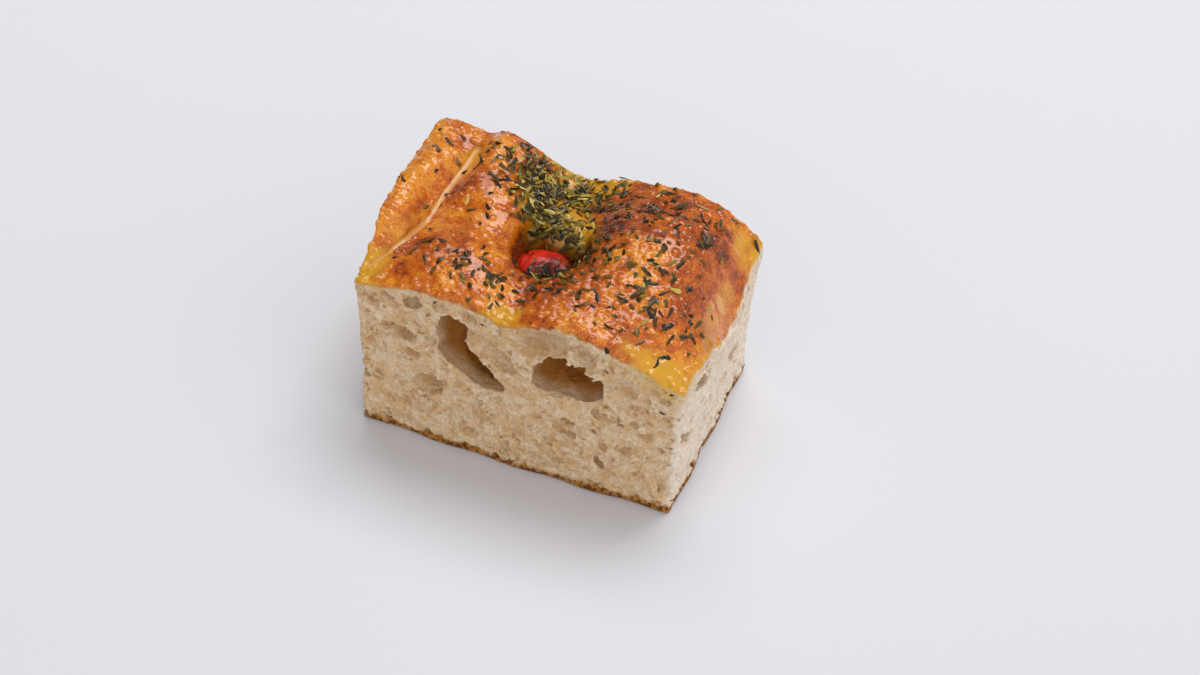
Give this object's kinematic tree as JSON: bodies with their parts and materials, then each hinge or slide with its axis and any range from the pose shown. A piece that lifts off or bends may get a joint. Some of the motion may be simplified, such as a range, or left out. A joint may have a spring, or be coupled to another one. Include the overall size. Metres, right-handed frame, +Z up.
{
  "type": "focaccia",
  "caption": "Hand-cut block of thick focaccia bread with open crumb, an oiled and herbed crust, and a roasted tomato sunk in a dimple; food to serve or to dress a table.",
  "frame": {"origin": "middle of the block's box on its flat underside", "axes": "+Z up out of the crust, +X along the block's long side, -Y out of the front cut face"},
  "size_m": [0.1043, 0.0704, 0.0644],
  "materials": {
    "crumb": "soft open wheat crumb, dry and matt, with holes of all sizes",
    "crust": "baked crust, orange-brown, blistered and wet with olive oil",
    "tomato_skin": "roasted tomato skin, wrinkled and oily",
    "herbs": "dried chopped herb leaves, dark olive, darkened by oil"
  },
  "bodies": {
    "root": {"bread": "crumb", "tomato": "tomato_skin"}
  },
  "joints": []
}
